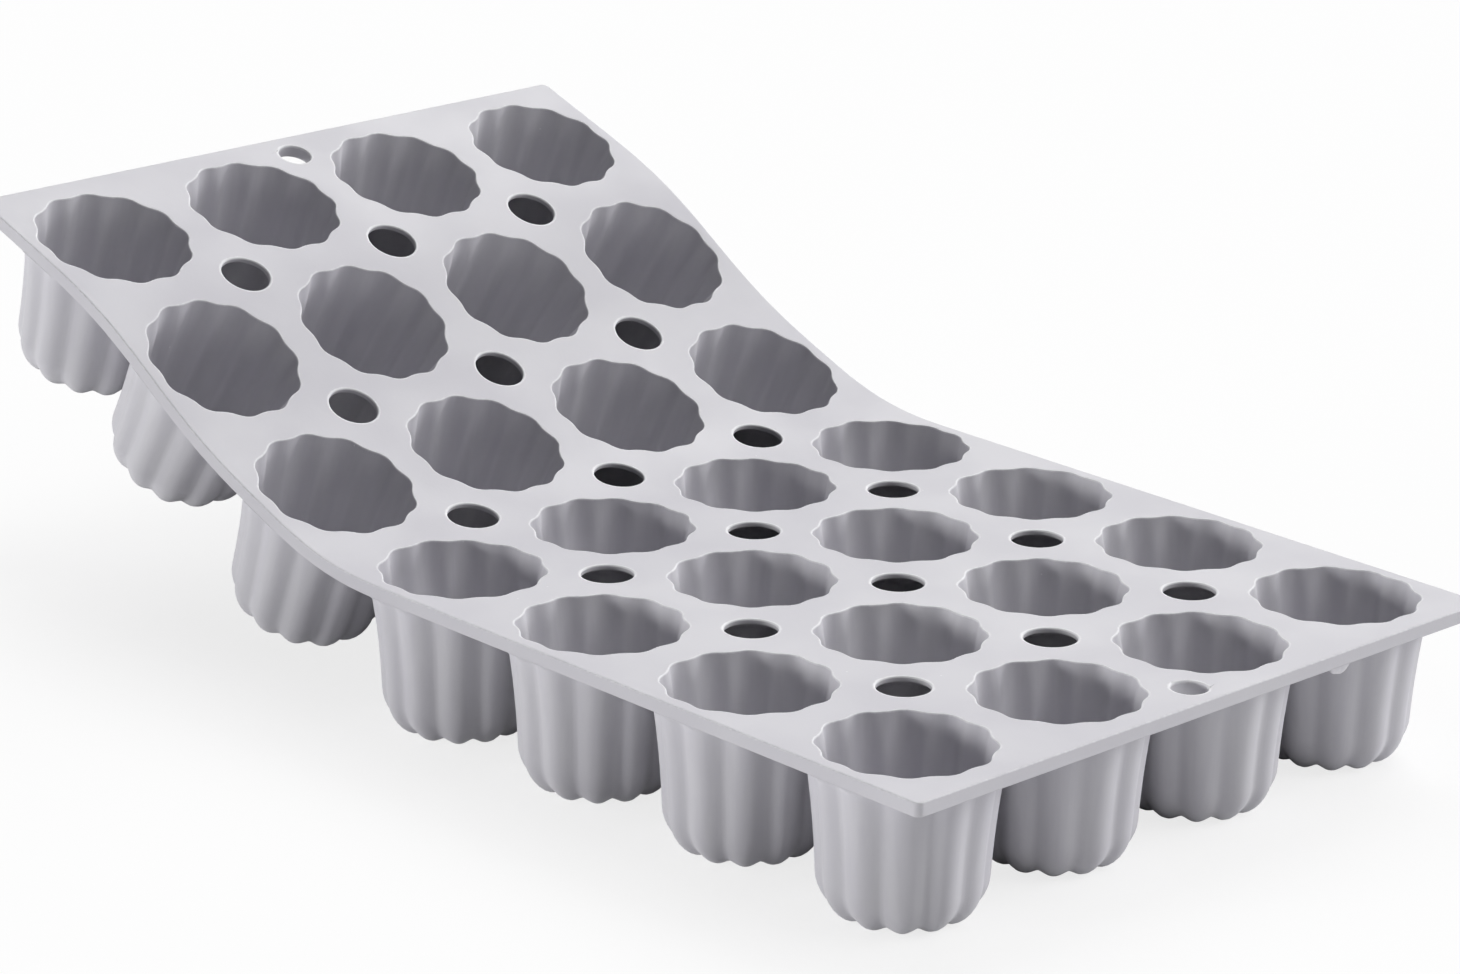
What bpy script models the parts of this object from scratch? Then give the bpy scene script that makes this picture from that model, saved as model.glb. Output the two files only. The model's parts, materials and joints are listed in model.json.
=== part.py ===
"""Silicone baking mould with fluted cups, standing on one end and flexed upwards at the other.

The real object is one moulding. It is divided here where its members meet: every cup is an object,
so is the sheet round each row of cups, and so is the strip that bends between two rows. The empties
named flex_ are the bending lines. Each carries the row on its far side from the root row.

Units are metres and +Z is up. +X runs along the mould from the lifted end, row 1, to the flat end.
The origin lies on the table under the middle of the mould's box.
"""

import math

import bmesh
import bpy
import numpy as np
from mathutils import Matrix, Vector

# Counts
ROWS = 7
COLUMNS = 4
LOBES = 12

# Mouth of a cup in the sheet's top face
MOUTH_DIAMETER = 0.0342
MOUTH_LOBE = 0.00042

# Cup below the sheet
CUP_DEPTH = 0.034
WALL = 0.0015
FLOOR = 0.002
DRAFT = math.radians(6.2)
FOOT_HEIGHT = 0.008
FOOT_WIDTH = 0.0065
FOOT_LOBE = 0.00075

# Sheet that carries the cups
SHEET = 0.003
LAND_BETWEEN_ROWS = 0.0075
LAND_BETWEEN_COLUMNS = 0.0065
END_BORDER = 0.005
SIDE_BORDER = 0.00225
CORNER_RADIUS = 0.0015

# Holes in the sheet
VENT_DIAMETER = 0.011
HANG_HOLE_DIAMETER = 0.0075
HANG_HOLE_INSET = 0.0071

# Strip that bends between two rows, with a ring round each vent
STRIP_WIDTH = 0.004
VENT_RING = 0.0015
GAP = 0.0003

# Bend between neighbouring rows as the mould lies, positive where the mouths turn together
BEND_1_2 = math.radians(-13.5)
BEND_2_3 = math.radians(11.0)
BEND_3_4 = math.radians(21.5)
BENDS = {1: BEND_1_2, 2: BEND_2_3, 3: BEND_3_4}

# The row that the other rows hang on
ROOT_ROW = 5

# Fineness of the curved faces
CURVE_STEPS = 1200
FOOT_STEPS = 2
RING_ARC_STEPS = 4
SIDE_STEPS = 7
VENT_POINTS = 10
HANG_HOLE_POINTS = 10
CORNER_STEPS = 2

# Derived sizes
MOUTH_REACH = MOUTH_DIAMETER / 2 + MOUTH_LOBE
ROW_PITCH = 2 * MOUTH_REACH + LAND_BETWEEN_ROWS
COLUMN_PITCH = 2 * MOUTH_REACH + LAND_BETWEEN_COLUMNS
END_MARGIN = MOUTH_REACH + END_BORDER
HALF_WIDTH = (COLUMNS - 1) * COLUMN_PITCH / 2 + MOUTH_REACH + SIDE_BORDER
SHEET_MIDDLE = CUP_DEPTH - SHEET / 2


def row_station(row):
    """Place of a row's centre line, measured along the sheet from the first row."""
    return (row - 1) * ROW_PITCH


def strip_station(row):
    """Place of the bending line between a row and the next one."""
    return row_station(row) + ROW_PITCH / 2


def column_place(column):
    """Place of a column of cups across the mould."""
    return (column - (COLUMNS + 1) / 2) * COLUMN_PITCH


def vent_places():
    """Places of the vents across the mould, midway between the columns."""
    return [column_place(column) + COLUMN_PITCH / 2 for column in range(1, COLUMNS)]


def ease(share):
    """Smooth passage from 0 to 1."""
    share = min(max(share, 0.0), 1.0)
    return share * share * (3 - 2 * share)


def slope(station):
    """Angle at which the sheet climbs towards row 1. Each bend is spread from row to row."""
    total = 0.0
    for row, bend in BENDS.items():
        total += bend * (1 - ease((station - row_station(row)) / ROW_PITCH))
    return total


class SheetCurve:
    """The middle of the sheet's thickness, seen from the side."""

    def __init__(self):
        first = row_station(1) - END_MARGIN
        last = row_station(ROWS) + END_MARGIN
        self.stations = np.linspace(first, last, CURVE_STEPS + 1)
        angles = np.array([slope(station) for station in self.stations])
        middles = (angles[1:] + angles[:-1]) / 2
        steps = np.diff(self.stations)
        run = np.concatenate(([0.0], np.cumsum(np.cos(middles) * steps)))
        fall = np.concatenate(([0.0], np.cumsum(np.sin(middles) * steps)))
        self.x = run
        self.z = SHEET_MIDDLE + fall[-1] - fall

    def point(self, station, y, height):
        """Point at a station and a place across, at a height above the sheet's middle."""
        angle = slope(station)
        x = np.interp(station, self.stations, self.x) + height * math.sin(angle)
        z = np.interp(station, self.stations, self.z) + height * math.cos(angle)
        return Vector((x, y, z))


def lobed_ring(mean_radius, lobe):
    """Corners of a fluted ring, with a valley on +X and one tip and one valley to a lobe."""
    corners = []
    for index in range(2 * LOBES):
        angle = index * math.pi / LOBES
        radius = mean_radius - lobe * math.cos(LOBES * angle)
        corners.append((radius * math.cos(angle), radius * math.sin(angle)))
    return corners


def round_ring(x, y, radius, points):
    """Corners of a circle."""
    turns = [2 * math.pi * index / points for index in range(points)]
    return [(x + radius * math.cos(turn), y + radius * math.sin(turn)) for turn in turns]


def inner_radius(depth):
    """Mean radius of the cup's inner face at a depth below the sheet's top face."""
    return MOUTH_DIAMETER / 2 - depth * math.tan(DRAFT)


def lobe_at(depth):
    """Height of the lobes at a depth, which grows towards the cup's foot."""
    return MOUTH_LOBE + (FOOT_LOBE - MOUTH_LOBE) * depth / CUP_DEPTH


def face_section(skin, floor_depth):
    """Depth and mean radius down one face of a cup, from the sheet to the edge of its floor.

    The face lies skin outside the inner face. Its foot is a quarter of an ellipse.
    """
    top = SHEET + GAP
    foot = CUP_DEPTH - FOOT_HEIGHT
    foot_radius = inner_radius(foot) + skin
    foot_width = FOOT_WIDTH - WALL + skin
    section = [(top, inner_radius(top) + skin)]
    for step in range(FOOT_STEPS + 1):
        turn = math.pi / 2 * step / FOOT_STEPS
        depth = foot + (floor_depth - foot) * math.sin(turn)
        section.append((depth, foot_radius - foot_width * (1 - math.cos(turn))))
    return section


def new_object(name, mesh, material, parent, location, angle=0.0):
    """Place a mesh as a named object under its parent, tilted about Y."""
    part = bpy.data.objects.new(name, mesh)
    if not mesh.materials:
        mesh.materials.append(material)
    bpy.context.collection.objects.link(part)
    part.parent = parent
    part.matrix_basis = Matrix.Translation(location) @ Matrix.Rotation(angle, 4, "Y")
    return part


def finished_mesh(name, bm):
    """Turn a bmesh into a mesh with its faces outwards and its round faces smooth."""
    bmesh.ops.recalc_face_normals(bm, faces=bm.faces)
    mesh = bpy.data.meshes.new(name)
    bm.to_mesh(mesh)
    bm.free()
    mesh.shade_smooth()
    mesh.set_sharp_from_angle(angle=math.radians(40))
    return mesh


def silicone(name):
    """Matt grey silicone rubber."""
    material = bpy.data.materials.new(name)
    material.use_nodes = True
    shader = material.node_tree.nodes["Principled BSDF"]
    shader.inputs["Base Color"].default_value = (0.52, 0.51, 0.54, 1)
    shader.inputs["Roughness"].default_value = 0.55
    shader.inputs["Metallic"].default_value = 0.0
    return material


def cup_mesh(curve, row):
    """Fluted cup of a row, its origin under the mouth's centre in the middle of the sheet.

    The top edge follows the sheet's underside, and the rest is square to the row.
    """
    centre = curve.point(row_station(row), 0.0, 0.0)
    upright = Matrix.Rotation(-slope(row_station(row)), 3, "Y")
    outer = face_section(WALL, CUP_DEPTH)
    inner = face_section(0.0, CUP_DEPTH - FLOOR)
    bm = bmesh.new()
    rings = []
    for depth, radius in outer[::-1] + inner:
        ring = []
        for x, y in lobed_ring(radius, lobe_at(depth)):
            height = SHEET / 2 - depth
            corner = Vector((x, y, height))
            if depth == SHEET + GAP:
                corner = upright @ (curve.point(row_station(row) + x, y, height) - centre)
            ring.append(bm.verts.new(corner))
        rings.append(ring)
    for lower, upper in zip(rings, rings[1:]):
        for index in range(len(lower)):
            after = (index + 1) % len(lower)
            bm.faces.new((lower[index], lower[after], upper[after], upper[index]))
    bm.faces.new(rings[0])
    bm.faces.new(rings[-1])
    return finished_mesh(f"cup_row_{row}", bm)


def sheet_plate(name, curve, outline, holes, centre):
    """Flat plate with holes, given the sheet's thickness and laid along its curve."""
    bm = bmesh.new()
    edges = []
    for loop in [outline, *holes]:
        corners = [bm.verts.new((station, y, SHEET / 2)) for station, y in loop]
        for index, corner in enumerate(corners):
            edges.append(bm.edges.new((corner, corners[(index + 1) % len(corners)])))
    bmesh.ops.triangle_fill(bm, edges=edges, use_beauty=True, normal=(0, 0, 1))
    under = bmesh.ops.extrude_face_region(bm, geom=bm.faces[:])["geom"]
    under_corners = [item for item in under if isinstance(item, bmesh.types.BMVert)]
    bmesh.ops.translate(bm, verts=under_corners, vec=(0, 0, -SHEET))
    for corner in bm.verts:
        corner.co = curve.point(*corner.co) - centre
    return finished_mesh(name, bm)


def strip_edge(row, side, clearance):
    """Long edge of the strip after a row, bulging round its vents, from the near side across.

    Side is -1 towards row 1 and 1 towards the last row. The sheet beside it keeps a clearance.
    """
    middle = strip_station(row)
    half = STRIP_WIDTH / 2 + clearance
    ring = VENT_DIAMETER / 2 + VENT_RING + clearance
    reach = math.acos(half / ring)
    edge = [(middle + side * half, -HALF_WIDTH)]
    for vent in vent_places():
        for step in range(RING_ARC_STEPS + 1):
            turn = reach * (2 * step / RING_ARC_STEPS - 1)
            edge.append((middle + side * ring * math.cos(turn), vent + ring * math.sin(turn)))
    edge.append((middle + side * half, HALF_WIDTH))
    return edge


def end_edge(row, side):
    """Short end of the sheet with its rounded corners, from the near side across."""
    centre = row_station(row) + side * (END_MARGIN - CORNER_RADIUS)
    edge = []
    for across in (-1, 1):
        y = across * (HALF_WIDTH - CORNER_RADIUS)
        for step in range(CORNER_STEPS + 1):
            share = step / CORNER_STEPS
            turn = math.pi / 2 * (1 - share if across < 0 else share)
            edge.append((centre + side * CORNER_RADIUS * math.cos(turn),
                         y + across * CORNER_RADIUS * math.sin(turn)))
    return edge


def side_points(start, end, y):
    """Points between two stations along a long side, without its ends."""
    shares = [step / SIDE_STEPS for step in range(1, SIDE_STEPS)]
    return [(start + (end - start) * share, y) for share in shares]


def row_outline(row):
    """Outline of the sheet round a row, and so the border that it shares with the strips."""
    before = end_edge(1, -1) if row == 1 else strip_edge(row - 1, 1, GAP)
    after = end_edge(ROWS, 1) if row == ROWS else strip_edge(row, -1, GAP)
    far = side_points(after[-1][0], before[-1][0], HALF_WIDTH)
    near = side_points(before[0][0], after[0][0], -HALF_WIDTH)
    return after + far + before[::-1] + near


def row_holes(row):
    """Mouths of a row, and the hanging hole of an end row."""
    holes = []
    for column in range(1, COLUMNS + 1):
        mouth = lobed_ring(MOUTH_DIAMETER / 2, MOUTH_LOBE)
        holes.append([(row_station(row) + x, column_place(column) + y) for x, y in mouth])
    for end_row, side in ((1, -1), (ROWS, 1)):
        if row == end_row:
            station = row_station(row) + side * (END_MARGIN - HANG_HOLE_INSET)
            holes.append(round_ring(station, 0.0, HANG_HOLE_DIAMETER / 2, HANG_HOLE_POINTS))
    return holes


def build_row(curve, row, parent, pivot, materials):
    """Sheet and cups of one row, under the empty on the row's bending line."""
    centre = curve.point(row_station(row), 0.0, 0.0)
    plate = sheet_plate(f"deck_row_{row}", curve, row_outline(row), row_holes(row), centre)
    parts = [new_object(plate.name, plate, materials["deck"], parent, centre - pivot)]
    mesh = cup_mesh(curve, row)
    for column in range(1, COLUMNS + 1):
        place = centre + Vector((0, column_place(column), 0))
        parts.append(new_object(f"cup_r{row}_c{column}", mesh, materials["cup"], parent,
                                place - pivot, slope(row_station(row))))
    return parts


def build_strip(curve, row, parent, pivot, materials):
    """Strip that bends between a row and the next one."""
    centre = curve.point(strip_station(row), 0.0, 0.0)
    outline = strip_edge(row, 1, 0.0) + strip_edge(row, -1, 0.0)[::-1]
    vents = [round_ring(strip_station(row), vent, VENT_DIAMETER / 2, VENT_POINTS)
             for vent in vent_places()]
    mesh = sheet_plate(f"flex_web_{row}_{row + 1}", curve, outline, vents, centre)
    return new_object(mesh.name, mesh, materials["web"], parent, centre - pivot)


def new_pivot(name, parent, location):
    """Empty that marks a bending line, or the whole mould."""
    pivot = bpy.data.objects.new(name, None)
    pivot.empty_display_size = STRIP_WIDTH
    bpy.context.collection.objects.link(pivot)
    pivot.parent = parent
    pivot.location = location
    return pivot


def build_mould():
    """Rows and strips, each row on the bending line that joins it to its neighbour."""
    curve = SheetCurve()
    materials = {name: silicone(f"silicone_{name}") for name in ("deck", "cup", "web")}
    mould = new_pivot("mould", None, Vector())
    places = {ROOT_ROW: Vector()}
    pivots = {ROOT_ROW: mould}
    parts = []
    for row in list(range(ROOT_ROW - 1, 0, -1)) + list(range(ROOT_ROW + 1, ROWS + 1)):
        inward = row + 1 if row < ROOT_ROW else row - 1
        low = min(row, inward)
        places[row] = curve.point(strip_station(low), 0.0, 0.0)
        pivots[row] = new_pivot(f"flex_{low}_{low + 1}", pivots[inward], places[row] - places[inward])
        parts.append(build_strip(curve, low, pivots[inward], places[inward], materials))
    for row in range(1, ROWS + 1):
        parts += build_row(curve, row, pivots[row], places[row], materials)
    return mould, parts


def centre_over_origin(mould, parts):
    """Move the mould along X until the middle of its box is over the origin."""
    bpy.context.view_layer.update()
    reach = [(part.matrix_world @ corner.co).x for part in parts for corner in part.data.vertices]
    mould.location.x -= (min(reach) + max(reach)) / 2
    bpy.context.view_layer.update()


def main():
    """Clear the scene and build the mould in it."""
    for old in list(bpy.data.objects):
        bpy.data.objects.remove(old)
    mould, parts = build_mould()
    centre_over_origin(mould, parts)


main()
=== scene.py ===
"""Looks of a silicone baking mould with 28 fluted cups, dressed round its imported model.

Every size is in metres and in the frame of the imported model: +X runs from the lifted end to the flat
end, +Y from the near side to the far side, and +Z is up.

The moulding is modelled laid out flat. A flat place is a station along the mould, a place across it
and a height above the middle of the sheet's thickness. The finished pieces are then laid on the curve
of the flexed mould, so that the sheet, the mouths and the cups still meet as one moulding.
"""

import json
import logging
import math
from contextlib import contextmanager
from dataclasses import dataclass, field
from enum import Enum
from typing import Any, Callable, Iterable, Iterator, Mapping, Sequence

import bmesh
import bpy
import numpy as np
from mathutils import Matrix, Vector


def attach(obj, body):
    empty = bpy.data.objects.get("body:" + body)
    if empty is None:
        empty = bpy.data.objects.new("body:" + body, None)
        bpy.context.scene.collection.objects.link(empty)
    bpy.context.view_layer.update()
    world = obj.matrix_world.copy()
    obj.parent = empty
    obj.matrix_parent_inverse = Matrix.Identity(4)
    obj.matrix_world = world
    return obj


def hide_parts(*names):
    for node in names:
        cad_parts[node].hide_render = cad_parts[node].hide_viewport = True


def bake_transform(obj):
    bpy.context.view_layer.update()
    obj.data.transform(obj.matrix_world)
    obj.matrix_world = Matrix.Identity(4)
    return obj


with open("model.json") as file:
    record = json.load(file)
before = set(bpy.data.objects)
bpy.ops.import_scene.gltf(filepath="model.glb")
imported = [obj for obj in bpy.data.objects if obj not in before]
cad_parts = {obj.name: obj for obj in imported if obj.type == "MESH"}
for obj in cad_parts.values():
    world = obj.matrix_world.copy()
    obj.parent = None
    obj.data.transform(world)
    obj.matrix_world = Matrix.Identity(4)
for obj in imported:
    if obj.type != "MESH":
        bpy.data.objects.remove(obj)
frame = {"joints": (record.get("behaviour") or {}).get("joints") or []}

LOG = logging.getLogger("mould")
FLAT_PLACE = "flat_place"
RIM_GAP = "rim_gap"
MERGE_DISTANCE = 0.00001
# Painted highlight: rims are painted pale near their edges, and a rim with a weaker highlight counts as
# up to this much further from its edge.
NO_HIGHLIGHT_DISTANCE = 0.0005
SMOOTH_ANGLE = math.radians(36)

Object = bpy.types.Object
Colour = tuple[float, float, float]
Flat = tuple[float, float]
WHITE: Colour = (1.0, 1.0, 1.0)


class Corner(Enum):
    """What lies at the corner of the sheet round a mouth."""

    VENT = "a quarter of a vent"
    STRIP_END = "the long side, where a strip ends"
    PLAIN = "the end border between two outer cups"
    HANG_HOLE = "the end border with half a hanging hole"
    SHEET_CORNER = "a rounded corner of the sheet"


# Steps in each stretch of a quarter's outer edge. They add up to the steps round a quarter of the lip.
EDGE_STEPS = {
    Corner.VENT: (13, 10, 13),
    Corner.STRIP_END: (17, 19),
    Corner.PLAIN: (16, 20),
    Corner.HANG_HOLE: (9, 4, 15, 8),
    Corner.SHEET_CORNER: (15, 5, 16),
}


class End(Enum):
    """The two short ends of the mould, by the way that they face along the stations."""

    LIFTED = -1
    FLAT = 1


def ease(share: Any) -> Any:
    """Smooth passage from 0 to 1, of a number or an array."""
    share = np.clip(share, 0.0, 1.0)
    return share * share * (3 - 2 * share)


def quarter_turns(steps: int) -> list[float]:
    """Angles of a quarter turn in equal steps, from 0."""
    return [math.pi / 2 * step / steps for step in range(steps + 1)]


def direction(azimuth: float, elevation: float) -> Vector:
    """Direction from the mould to a side of the scene.

    Args:
        azimuth: Angle in degrees, 0 on the near side and 90 at the flat end.
        elevation: Angle above the floor, in degrees.

    Returns:
        The direction, of length 1.
    """
    turn, climb = math.radians(azimuth), math.radians(elevation)
    level = math.cos(climb)
    return Vector((math.sin(turn) * level, -math.cos(turn) * level, math.sin(climb)))


@dataclass(frozen=True)
class MouldPlan:
    """Sizes that several pieces of the moulding share.

    Rows count from the lifted end and columns from the near side. A bend is the angle between two
    neighbouring rows, positive where their mouths turn together.
    """

    rows: int = 7
    columns: int = 4
    lobes: int = 12
    mouth_diameter: float = 0.0342
    mouth_lobe: float = 0.00042
    cup_depth: float = 0.034
    sheet: float = 0.003
    land_between_rows: float = 0.0075
    land_between_columns: float = 0.0065
    end_border: float = 0.005
    side_border: float = 0.00225
    corner_radius: float = 0.0015
    vent_diameter: float = 0.011
    hang_hole_diameter: float = 0.0075
    hang_hole_inset: float = 0.0071
    bends: tuple[float, ...] = (-13.5, 11.0, 21.5)
    quarter_points: int = 36

    @property
    def mouth_reach(self) -> float:
        """Radius of the mouth at the tip of a lobe."""
        return self.mouth_diameter / 2 + self.mouth_lobe

    @property
    def row_pitch(self) -> float:
        """Distance between neighbouring rows, along the sheet."""
        return 2 * self.mouth_reach + self.land_between_rows

    @property
    def column_pitch(self) -> float:
        """Distance between neighbouring columns."""
        return 2 * self.mouth_reach + self.land_between_columns

    @property
    def end_margin(self) -> float:
        """Distance from an end row's centre line to the end of the sheet."""
        return self.mouth_reach + self.end_border

    @property
    def side_margin(self) -> float:
        """Distance from an outer column's centre line to the long side."""
        return self.mouth_reach + self.side_border

    @property
    def half_width(self) -> float:
        """Half the width of the sheet."""
        return (self.columns - 1) * self.column_pitch / 2 + self.side_margin

    @property
    def points(self) -> int:
        """Points round a mouth."""
        return 4 * self.quarter_points

    def row_station(self, row: float) -> float:
        """Station of a row's centre line, or of a place between two rows."""
        return (row - 1) * self.row_pitch

    def column_place(self, column: float) -> float:
        """Place of a column of cups across the mould."""
        return (column - (self.columns + 1) / 2) * self.column_pitch


class SheetCurve:
    """The curve of the flexed mould, on which flat places are laid."""

    STEPS = 2400

    def __init__(self, plan: MouldPlan, joints: Iterable[Mapping[str, Any]]) -> None:
        """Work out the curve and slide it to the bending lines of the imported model.

        Args:
            plan: Shared sizes.
            joints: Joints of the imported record, named flex_ROW_ROW.
        """
        self.plan = plan
        first = plan.row_station(1) - plan.end_margin
        last = plan.row_station(plan.rows) + plan.end_margin
        self.stations = np.linspace(first, last, self.STEPS + 1)
        angles = self.slope(self.stations)
        middles = (angles[1:] + angles[:-1]) / 2
        steps = np.diff(self.stations)
        self.x = np.concatenate(([0.0], np.cumsum(np.cos(middles) * steps)))
        self.z = -np.concatenate(([0.0], np.cumsum(np.sin(middles) * steps)))
        for joint in joints:
            low, high = (int(word) for word in joint["name"].split("_")[1:])
            middle = plan.row_station((low + high) / 2)
            self.x += joint["pos_m"][0] - np.interp(middle, self.stations, self.x)
            self.z += joint["pos_m"][2] - np.interp(middle, self.stations, self.z)

    def slope(self, station: np.ndarray) -> np.ndarray:
        """Angle at which the sheet climbs towards the lifted end.

        Args:
            station: Stations along the mould.

        Returns:
            The angles, each bend spread over a pitch.
        """
        total = np.zeros_like(station, dtype=float)
        for row, bend in enumerate(self.plan.bends, start=1):
            passed = ease((station - self.plan.row_station(row)) / self.plan.row_pitch)
            total += math.radians(bend) * (1 - passed)
        return total

    def lay(self, places: np.ndarray) -> np.ndarray:
        """Lay flat places on the curve.

        Args:
            places: Rows of station, place across and height above the middle of the sheet.

        Returns:
            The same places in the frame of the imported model.
        """
        station, across, height = places.T
        angle = self.slope(station)
        x = np.interp(station, self.stations, self.x) + height * np.sin(angle)
        z = np.interp(station, self.stations, self.z) + height * np.cos(angle)
        return np.stack([x, across, z], axis=1)

    def spot(self, station: float, height: float = 0.0) -> np.ndarray:
        """One point of the curve, in the middle of the mould's width."""
        return self.lay(np.array([[station, 0.0, height]]))[0]

    def lay_square(self, places: np.ndarray, station: float) -> np.ndarray:
        """Lay flat places square to the sheet at one station, as if it were flat there.

        Args:
            places: Rows of station, place across and height.
            station: Station at which the sheet is taken.

        Returns:
            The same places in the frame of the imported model.
        """
        spot = self.spot(station)
        angle = float(self.slope(np.array([station]))[0])
        along = places[:, 0] - station
        x = spot[0] + along * math.cos(angle) + places[:, 2] * math.sin(angle)
        z = spot[2] - along * math.sin(angle) + places[:, 2] * math.cos(angle)
        return np.stack([x, places[:, 1], z], axis=1)


class Bench:
    """Modelling by Blender's operators, one named piece at a time."""

    @staticmethod
    def take(*pieces: Object) -> Object:
        """Select only these pieces.

        Args:
            pieces: Pieces to select. The first becomes active.

        Returns:
            The active piece.
        """
        bpy.ops.object.select_all(action="DESELECT")
        for piece in pieces:
            piece.select_set(True)
        bpy.context.view_layer.objects.active = pieces[0]
        return pieces[0]

    @staticmethod
    def start(shape: Callable[..., Any], **sizes: Any) -> Object:
        """Start a piece from one of Blender's own shapes.

        Args:
            shape: Operator that adds the shape.
            sizes: Its settings.

        Returns:
            The new piece.
        """
        bpy.ops.object.select_all(action="DESELECT")
        shape(**sizes)
        return bpy.context.object

    @staticmethod
    @contextmanager
    def edit(piece: Object, mode: str = "VERT") -> Iterator[None]:
        """Edit mode on one piece, with all of it selected.

        Args:
            piece: Piece to edit.
            mode: What is selected, VERT or EDGE.

        Returns:
            Nothing, while the edits are made.
        """
        Bench.take(piece)
        bpy.ops.object.mode_set(mode="EDIT")
        bpy.ops.mesh.select_mode(type=mode)
        bpy.ops.mesh.select_all(action="SELECT")
        yield
        bpy.ops.object.mode_set(mode="OBJECT")

    @staticmethod
    def select_edges(piece: Object, wanted: Callable[[bmesh.types.BMEdge], bool]) -> None:
        """Select, in edit mode, the edges that pass a test and no others.

        Args:
            piece: Piece in edit mode.
            wanted: Test of an edge.
        """
        bpy.ops.mesh.select_all(action="DESELECT")
        shape = bmesh.from_edit_mesh(piece.data)
        for edge in shape.edges:
            edge.select_set(wanted(edge))
        bmesh.update_edit_mesh(piece.data)

    @staticmethod
    def join(pieces: Sequence[Object]) -> Object:
        """Join pieces into one, merge the points that they share and turn its faces one way.

        Args:
            pieces: Pieces to join.

        Returns:
            The joined piece.
        """
        joined = Bench.take(*pieces)
        bpy.ops.object.join()
        with Bench.edit(joined):
            bpy.ops.mesh.remove_doubles(threshold=MERGE_DISTANCE)
            bpy.ops.mesh.normals_make_consistent(inside=False)
        return joined

    @staticmethod
    def copy(piece: Object, name: str) -> Object:
        """Copy a piece, with its own mesh.

        Args:
            piece: Piece to copy.
            name: Name of the copy and its mesh.

        Returns:
            The copy.
        """
        twin = piece.copy()
        twin.data = piece.data.copy()
        twin.name = twin.data.name = name
        bpy.context.scene.collection.objects.link(twin)
        return twin

    @staticmethod
    def apply(piece: Object, kind: str, **settings: Any) -> None:
        """Add a modifier and apply it.

        Args:
            piece: Piece to change.
            kind: Type of the modifier.
            settings: Its settings.
        """
        Bench.take(piece)
        modifier = piece.modifiers.new(kind.title(), kind)
        for name, value in settings.items():
            setattr(modifier, name, value)
        bpy.ops.object.modifier_apply(modifier=modifier.name)

    @staticmethod
    def smooth(piece: Object) -> None:
        """Shade a piece smooth, but for its sharp edges, with its broad faces kept flat.

        Args:
            piece: Piece to shade.
        """
        Bench.take(piece)
        bpy.ops.object.shade_smooth_by_angle(angle=SMOOTH_ANGLE)
        Bench.apply(piece, "WEIGHTED_NORMAL", keep_sharp=True, weight=50)

    @staticmethod
    def places(piece: Object) -> np.ndarray:
        """Read where the points of a piece are.

        Args:
            piece: Piece to read.

        Returns:
            Rows of coordinates.
        """
        flat = np.empty(3 * len(piece.data.vertices))
        piece.data.vertices.foreach_get("co", flat)
        return flat.reshape(-1, 3)

    @staticmethod
    def set_places(piece: Object, places: np.ndarray) -> None:
        """Move the piece's points to new coordinates."""
        piece.data.vertices.foreach_set("co", places.astype(np.float32).ravel())
        piece.data.update()

    @staticmethod
    def keep_attribute(piece: Object, name: str, values: np.ndarray) -> None:
        """Store a number or a vector for each point of a piece, for its finish to read.

        Args:
            piece: Piece that keeps it.
            name: Name of the attribute.
            values: Numbers, or rows of vectors.
        """
        is_vector = values.ndim == 2
        kind = "FLOAT_VECTOR" if is_vector else "FLOAT"
        stored = piece.data.attributes.new(name, kind, "POINT")
        stored.data.foreach_set("vector" if is_vector else "value", values.astype(np.float32).ravel())


@dataclass(frozen=True)
class SectionPoint:
    """One ring of a cup's section.

    Attributes:
        radius: Radius at the tips of the lobes.
        depth: Depth below the sheet's top face, at the tips.
        flute: How far the valleys lie behind the tips.
        lean: Angle of the section's face from upright, towards the cup's floor.
        keen: How sharp the valleys are, from 0 for an even wave to 1.
    """

    radius: float
    depth: float
    flute: float
    lean: float = 0.0
    keen: float = 0.0


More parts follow.
